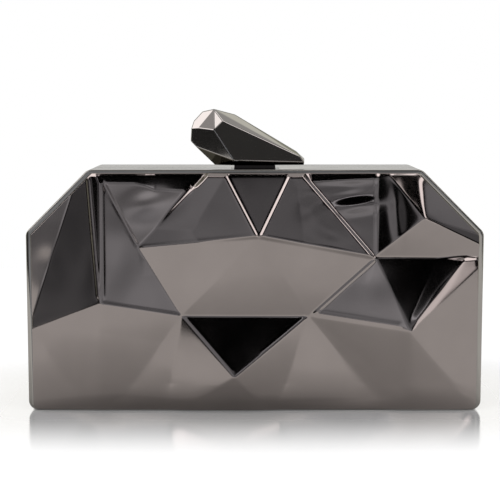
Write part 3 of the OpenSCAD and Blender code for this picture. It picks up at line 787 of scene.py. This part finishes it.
# Lining strip of the back half: a bent card in the same satin, round the inside of the frame.
# Its edges are folded over, and the satin puckers a little where it turns each corner.
def covered_strip(name, node, body, gap):
    """The strip's round cornered section, carried round the inside of the half from gap to gap."""
    low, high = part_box(node)
    inner, outer = sorted((abs(low.y), abs(high.y)))
    outward = 1 if high.y > 0 else -1
    route = lining_outline(lining_in + card_t / 2, lining_floor + card_t / 2, 0.0024, gap)
    section = []
    round_r = card_t * 0.32
    for y, out, quarter in ((0, -0.5, 2), (0, 0.5, 1), (1, 0.5, 0), (1, -0.5, 3)):
        cy = inner + y * (outer - inner) + (round_r if y == 0 else -round_r)
        co = out * card_t + (round_r if out < 0 else -round_r)
        for k in range(4):
            a = math.radians(90 * quarter + 30 * k)
            section.append((cy + round_r * math.cos(a), co + round_r * math.sin(a)))
    around = len(section)
    hub_y = sum(y for y, _ in section) / around
    section.sort(key=lambda place: math.atan2(place[1] * 4, place[0] - hub_y))
    rng = random.Random(9)
    points = []
    for i, p in enumerate(route):
        way = (route[min(len(route) - 1, i + 1)] - route[max(0, i - 1)]).normalized()
        out = Vector((-way.y, way.x))
        pucker = rng.uniform(-0.00008, 0.00008)
        for y, off in section:
            q = p + out * (off + (pucker if off < 0 else 0))
            points.append((q.x, outward * y, q.y))
    faces = joined_rings(len(route), around, True)
    faces.append(tuple(range(around)))
    faces.append(tuple((len(route) - 1) * around + k for k in range(around)))
    placed(name, sewn(name, points, faces), body, node)


covered_strip("back_strip_cover", "back_lining_strip", "back_half", 0.012)

# Slip pocket: one layer of the satin sewn to the back board along its sides and lower edge.
# Its mouth stands a little off the board, with a folded hem that is stitched once.
pocket_low, pocket_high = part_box("slip_pocket")
pocket_w = pocket_high.x - pocket_low.x
pocket_h = pocket_high.z - pocket_low.z
seam_y = board_y - 0.0003


def pocket_place(u, v, off=0.0):
    """A point of the cloth: across, up, and how far it stands off towards the inside."""
    full = math.sin(math.pi * min(1, max(0, u))) ** 0.6
    stand = 0.00012 + 0.0006 * full * v**1.5 + 0.0001 * full * math.sin(9 * u + 4 * v)
    sag = 0.0009 * full * v**3
    return (
        pocket_low.x + u * pocket_w,
        seam_y - stand - off,
        pocket_low.z + v * pocket_h - sag,
    )


def pocket_cloth(name, rows, node=None):
    """Rows of cloth across the pocket, each at its share of the height and so far off the board."""
    across = [i / 64 for i in range(65)]
    points = [pocket_place(u, v, off) for v, off in rows for u in across]
    mesh = sewn(name, points, joined_rings(len(rows), len(across), False))
    return placed(name, mesh, "back_half", node)


pocket = pocket_cloth("pocket_cloth", [(j / 32, 0.0) for j in range(33)], "slip_pocket")
thick = pocket.modifiers.new("cloth_thickness", "SOLIDIFY")
thick.thickness = 0.0002
# Rows of the folded hem: share of the pocket's height, and how far each stands off the cloth
hem_rows = [
    (0.93, 0.0), (0.93, 0.00022), (0.96, 0.00028), (0.99, 0.00025), (1.003, 0.0001), (1.003, -0.0001),
]
pocket_hem = pocket_cloth("pocket_hem", hem_rows)

# Strap loops of the back half: flat eyes on small base plates, plated like the frame.
# They are soldered inside each side, and take the end clips of a strap.
for side in ("left", "right"):
    dress(f"strap_loop_{side}", gunmetal_frame, 0.0002, 3)

# Hinges, back half: leaves of nickel plated sheet with rolled knuckles, riveted to the base.
# The rivets have low round heads; a drawn steel pin runs through each set of knuckles.
pin_steel = satin_nickel("pin_steel", (0.58, 0.57, 0.55), (0.05, 1, 1), 0.16)
rivet_nickel = satin_nickel("rivet_nickel", (0.60, 0.58, 0.54), (1, 1, 1), 0.2)
for side in ("left", "right"):
    dress(f"back_hinge_leaf_{side}", nickel_sheet, 0.0001, 2)
    dress(f"hinge_pin_{side}", pin_steel, 0.0001, 2)
dress("back_hinge_rivets", rivet_nickel)

# Front half frame: a drawn shell of sheet metal, polished and plated like the back one.
# A hole is punched in its top for the knob's block; it closes over the back half's lip.
rolled_shell("front_shell", "front_frame", "front_half")

# Front relief panel: pressed and plated like the back one, seen in the photograph.
# It comes from the same tool, so its folds and dents are those of the back, a little sharper.
pressed_panel("front_relief", "front_panel", "front_half", -1, 0.00028, 0.00035)

# Panel clips, guide and bracket of the front half: nickel plated pressings soldered in place.
# The guide sleeve is brass, painted near black as the shade round the knob's block.
dress("front_panel_clips", nickel_sheet, 0.00012, 2)
# Near black brass: painted shade under the knob, where the block and the guide sleeve show
shade_painted_brass = dark_plating("shade_painted_brass", (0.018, 0.016, 0.015), (0.1, 0.16), 0.1, 80)
dress("clasp_guide", shade_painted_brass, 0.0002, 3)
dress("clasp_bracket", nickel_sheet, 0.00015, 2)

# Return spring of the front half: a coil of spring wire between the bracket and the hook plate.
# The knob's press squeezes it by its travel; here it is a piece of its own over the CAD's coil.
wire = bmesh.new()
wire.from_mesh(parts["return_spring"].data)
bmesh.ops.remove_doubles(wire, verts=wire.verts, dist=0.000005)
for face in wire.faces:
    face.smooth = len(face.verts) < 5
coil_mesh = bpy.data.meshes.new("return_coil")
wire.to_mesh(coil_mesh)
wire.free()
coil_mesh.materials.append(spring_steel)
coil = placed("return_coil", coil_mesh, "front_half", "return_spring")
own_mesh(coil)

# Lining of the front half: card under black satin, a board and a strip like those of the back.
# The strip leaves a wider gap at the top, for the guide sleeve and the bracket of the clasp.
covered_board("front_board_cover", "front_lining_board", "front_half", -1)
covered_strip("front_strip_cover", "front_lining_strip", "front_half", 0.024)

# Hinges, front half: leaves of nickel plated sheet that carry the outer knuckles.
# They are riveted through the base of the frame like those of the back, with round heads.
for side in ("left", "right"):
    dress(f"front_hinge_leaf_{side}", nickel_sheet, 0.0001, 2)
dress("front_hinge_rivets", rivet_nickel)

# Push block, hook plate and screws: a machined brass block, painted near black like the guide it slides in,
# as the shade under the knob.
# The nickel plated hook plate is screwed below it, up into the knob; its tooth holds the catch.
dress("push_block", shade_painted_brass, 0.0003, 3)
dress("hook_plate", nickel_sheet, 0.00015, 2)
dress("knob_screws", rivet_nickel, 0.0001, 2)

# Knob: a cast stone shape with flat polished facets, plated in the same dark mirror gunmetal.
# It sits on the push block, alike at the front and the back, its edges barely broken.
knob_w, knob_d, knob_h = 0.048, 0.0174, 0.0233
block_low, block_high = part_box("push_block")
knob_y = (block_low.y + block_high.y) / 2
knob_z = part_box("clasp_knob")[0].z
# Corners of the front as shares of the knob's width, depth and height; the back is their mirror
# image in the plane at the depth stone_middle
stone_middle = 0.076
stone = [
    (-0.352, -0.424, 0.631), (-0.275, -0.324, 0.789), (-0.182, -0.510, 0.095), (0.432, -0.164, 0.049),
    (0.402, -0.147, 0.151), (-0.356, -0.218, 1.0), (-0.454, -0.142, 0.957), (-0.529, -0.182, 0.790),
    (-0.492, -0.306, 0.665), (-0.550, -0.255, 0.657), (-0.511, -0.252, 0.332), (-0.557, -0.223, 0.431),
    (-0.348, -0.058, 0.0), (-0.181, -0.280, 0.0), (0.429, -0.064, 0.0), (-0.173, -0.032, 0.901),
    (0.365, -0.050, 0.240), (0.435, 0.025, 0.112),
]
cut = bmesh.new()
for x, y, z in stone:
    for depth in (y, 2 * stone_middle - y):
        cut.verts.new((x * knob_w, knob_y + depth * knob_d, knob_z + z * knob_h))
bmesh.ops.convex_hull(cut, input=cut.verts)
bmesh.ops.dissolve_limit(cut, angle_limit=math.radians(2.0), verts=cut.verts, edges=cut.edges)
knob_mesh = bpy.data.meshes.new("knob_stone")
cut.to_mesh(knob_mesh)
cut.free()
gunmetal_knob = dark_plating("gunmetal_knob", (0.254, 0.240, 0.226), (0.03, 0.05), 0.08, 60)
knob_mesh.materials.append(gunmetal_knob)
for face in knob_mesh.polygons:
    face.use_smooth = True
knob = placed("knob_stone", knob_mesh, "clasp", "clasp_knob")
break_edges(knob, 0.00035, 3, 4)

# Studio floor: a plain pale sheet, white as far as the light reaches.
# Close to the clutch it mirrors it softly, and the mirror fades out over a few centimetres.
floor_half = 0.44
clear_front = 0.006
mirror_reach = 0.075
# Painted shade where the clutch touches the sheet, over this distance, seen only in mirrored rays
touch_reach = 0.014
# A painted shade that the polished metal mirrors: in front of the middle, its tones over a fifth of a metre
shade_x, shade_half = -0.02, 0.035
shade_tones = [(0.0, 0.5), (0.2, 0.68), (0.33, 0.76), (0.48, 0.86), (0.57, 1.0)]
floor_mesh = bpy.data.meshes.new("studio_floor")
sheet_corners = [(x * floor_half, y * floor_half, 0) for x, y in ((-1, -1), (1, -1), (1, 1), (-1, 1))]
floor_mesh.from_pydata(sheet_corners, [], [(0, 1, 2, 3)])
floor = bpy.data.objects.new("studio_floor", floor_mesh)
scene.collection.objects.link(floor)
paper = Finish("pale_floor")
place = paper.add("ShaderNodeNewGeometry").outputs["Position"]
apart = paper.add("ShaderNodeSeparateXYZ", {0: place}).outputs
seen = paper.add("ShaderNodeLightPath").outputs


def beyond(distance, reach):
    """How far a distance to either side goes past its reach, or nothing."""
    past = paper.reckon("SUBTRACT", paper.reckon("ABSOLUTE", distance), reach)
    return paper.reckon("MAXIMUM", past, 0.0)


def span(across, deep):
    """The length of a way that goes so far across and so far deep."""
    both = paper.add("ShaderNodeCombineXYZ", {0: across, 1: deep}).outputs[0]
    return paper.add("ShaderNodeVectorMath", {0: both}, operation="LENGTH").outputs["Value"]


in_front = beyond(apart["Y"], half_d + clear_front)
gap = span(beyond(apart["X"], case_w / 2), in_front)
near = paper.remap(gap, 0.75, 0.0, 0.0, mirror_reach, "SMOOTHSTEP")
facing = paper.add("ShaderNodeLayerWeight", {"Blend": 0.5}).outputs["Facing"]
glance = paper.remap(facing, 0.0, 1.0, 0.5, 0.76)
mirror = paper.reckon("MULTIPLY", paper.reckon("MULTIPLY", near, glance), seen["Is Camera Ray"])
# Painted shade: only to glossy rays is the sheet darker in front of the clutch's middle and where it touches
beside = beyond(paper.reckon("SUBTRACT", apart["X"], shade_x), shade_half)
spread = paper.reckon("MULTIPLY", span(beside, in_front), 5.0)
shade = paper.ramp(spread, [(at, (level,) * 3) for at, level in shade_tones])
shade = paper.mixed(1.0, shade, paper.remap(gap, 0.68, 1.0, 0.0, touch_reach), "MULTIPLY")
full = paper.mixed(seen["Is Glossy Ray"], (1, 1, 1, 1), shade)
paper.set(colour=paper.mixed(1.0, (0.8, 0.8, 0.8, 1), full, "MULTIPLY"), rough=1.0, specular=0.0)
glow = paper.reckon("MULTIPLY", paper.reckon("ADD", seen["Is Camera Ray"], seen["Is Glossy Ray"]), 0.30)
white = paper.add("ShaderNodeEmission", {"Color": full, "Strength": glow})
lit = paper.add("ShaderNodeAddShader", {0: paper.surface.outputs[0], 1: white.outputs[0]})
gloss = paper.add("ShaderNodeBsdfGlossy", {"Roughness": 0.14, "Color": (1, 1, 1, 1)})
laid = paper.add("ShaderNodeMixShader", {"Fac": mirror, 1: lit.outputs[0], 2: gloss.outputs[0]})
paper.links.new(laid.outputs[0], paper.nodes["Material Output"].inputs["Surface"])
floor_mesh.materials.append(paper.material)

# Studio light: an even pale room, with the panels and soft boxes that polished metal mirrors.
# Two weak lamps above give the shapes a side, and their own shapes are not mirrored.
room = bpy.data.worlds.new("studio_room")
scene.world = room
room.use_nodes = True
light = Wiring(room.node_tree)
light.nodes.clear()
way = light.add("ShaderNodeTexCoord").outputs["Generated"]
split = light.add("ShaderNodeSeparateXYZ", {0: way}).outputs
turned = light.reckon("ARCTAN2", split["X"], light.reckon("MULTIPLY", split["Y"], -1.0))
raised = light.reckon("ARCSINE", split["Z"])
patches = []


def rise(value, start, end):
    """Softly from nothing to one, as the value goes from start to end."""
    return light.remap(value, 0.0, 1.0, start, end, "SMOOTHSTEP")


def between(value, start, end, soft):
    """One between two angles and nothing past them, with soft edges, all in degrees."""
    low, high, soft = (math.radians(angle) for angle in (start, end, soft))
    before_end = light.reckon("SUBTRACT", 1.0, rise(value, high - soft, high + soft))
    return light.reckon("MULTIPLY", rise(value, low - soft, low + soft), before_end)


def lit_patch(shape, strength, tint=(1, 1, 1)):
    """The light of one shape in the room."""
    colour = [c * strength for c in tint]
    patch = light.add("ShaderNodeVectorMath", {0: colour, "Scale": shape}, operation="SCALE")
    patches.append(patch.outputs[0])


def light_panels(panels, tint=(1, 1, 1), cloud=None):
    """Soft edged panels of light: left, right, low, high and edge in degrees, then the strength."""
    for left, right, low, high, soft, strength in panels:
        across, up = between(turned, left, right, soft), between(raised, low, high, soft)
        shape = light.reckon("MULTIPLY", across, up)
        lit_patch(light.reckon("MULTIPLY", shape, cloud) if cloud else shape, strength, tint)


# Tall panes of glass behind the camera and beside it, most of them hazy
glass = (0.94, 0.985, 1.075)
mist = light.add("ShaderNodeTexNoise", {"Vector": way, "Scale": 9.0, "Detail": 2.0}).outputs[0]
haze = light.reckon("ADD", light.reckon("MULTIPLY", rise(mist, 0.3, 0.7), 0.7), 0.65)
hazy_panes = [
    (-19, -9, -2.5, 2.6, 1.2, 0.76),
    (-19, -9, -12, -2.5, 1.5, 0.36),
    (-9, 4, -4.4, 4.5, 1.0, 0.62),
    (-9, 4, -9.4, -4.4, 1.0, 0.33),
    (4, 16, -12, 2.0, 1.5, 0.54),
    (4, 16, 2.0, 7.0, 1.5, 0.42),
    (4, 19, 7, 11.5, 1.0, 0.34),
    (4, 10.5, 11.5, 13, 0.6, 0.34),
    (-21, -9, 2.6, 13, 1.2, 0.42),
    (-9, 4, 4.5, 13, 1.2, 0.42),
    (-19, 10.5, 13, 17.6, 0.6, 0.40),
    (-37, -27.5, -3, 14, 1.5, 0.19),
    (53, 75, 8, 40, 3, 0.46),
]
light_panels(hazy_panes, glass, haze)
clear_panes = [(-9, 4, -12, -9.4, 0.8, 1.1), (4, 10.5, 14.3, 16.5, 0.6, 1.0), (44, 53, 8, 20, 2, 0.25)]
light_panels(clear_panes, glass)
# Tall soft boxes at both sides, small ones between them, and a low one at the right
soft_boxes = [
    (32, 45, 20, 62, 2, 3.4),
    (-61, -40, 15, 60, 2, 3.6),
    (-40, -28, 15, 36, 2, 3.6),
    (-40, -28, 36, 60, 2, 0.9),
    (2.5, 7.5, 41, 47, 0.7, 3.4),
    (-22, -12, 35, 48, 1, 1.7),
    (13.5, 19.5, 35, 48, 1, 1.7),
    (23, 35, -9, 7, 2, 2.2),
]
light_panels(soft_boxes, (1.02, 0.98, 1.0))
light_panels([(20, 30, 19, 30, 2, 0.085)])
# The side walls and the ceiling of the room
side_walls = [
    (-150, -46, -90, 9, 3, 0.45),
    (-150, -62, 9, 60, 3, 0.5),
    (56, 150, -90, 5, 3, 0.55),
    (78, 150, 5, 60, 3, 0.72),
]
light_panels(side_walls, (1.04, 1.07, 0.89))
lit_patch(rise(raised, math.radians(49), math.radians(55)), 0.95)
# The pale wall behind the clutch, mirrored by its upper faces, and a little light from below
back_wall = rise(split["Y"], 0.05, 0.35)
upper_part = rise(raised, math.radians(7), math.radians(11))
wall_tone = light.reckon("ADD", 0.6, light.reckon("MULTIPLY", upper_part, 0.34))
under_top = light.reckon("SUBTRACT", 1.0, rise(raised, math.radians(20), math.radians(24)))
wall_light = light.reckon("MULTIPLY", back_wall, light.reckon("MULTIPLY", under_top, wall_tone))
lit_patch(wall_light, 1.0, (1.01, 1.0, 0.97))
lit_patch(rise(light.reckon("MULTIPLY", split["Z"], -1.0), 0.0, 0.03), 0.05)
total = patches[0]
for patch in patches[1:]:
    total = light.add("ShaderNodeVectorMath", {0: total, 1: patch}, operation="ADD").outputs[0]
ray = light.add("ShaderNodeLightPath").outputs
mirrored = light.mixed(ray["Is Glossy Ray"], (0.8, 0.8, 0.8, 1), total)
sky = light.add("ShaderNodeBackground", {"Color": light.mixed(ray["Is Camera Ray"], mirrored, (1, 1, 1, 1))})
light.add("ShaderNodeOutputWorld", {"Surface": sky.outputs[0]})
aim = Vector((0, 0, 0.05))
for name, at, power in (("key_lamp", (-0.5, -0.6, 0.9), 3.0), ("fill_lamp", (0.6, -0.5, 0.7), 1.5)):
    lamp = bpy.data.lights.new(name, "AREA")
    lamp.energy = power
    lamp.size = 0.5
    shine = bpy.data.objects.new(name, lamp)
    shine.location = at
    shine.rotation_euler = (aim - Vector(at)).to_track_quat("-Z", "Y").to_euler()
    shine.visible_glossy = False
    shine.visible_camera = False
    scene.collection.objects.link(shine)

scene.view_settings.view_transform = "Standard"
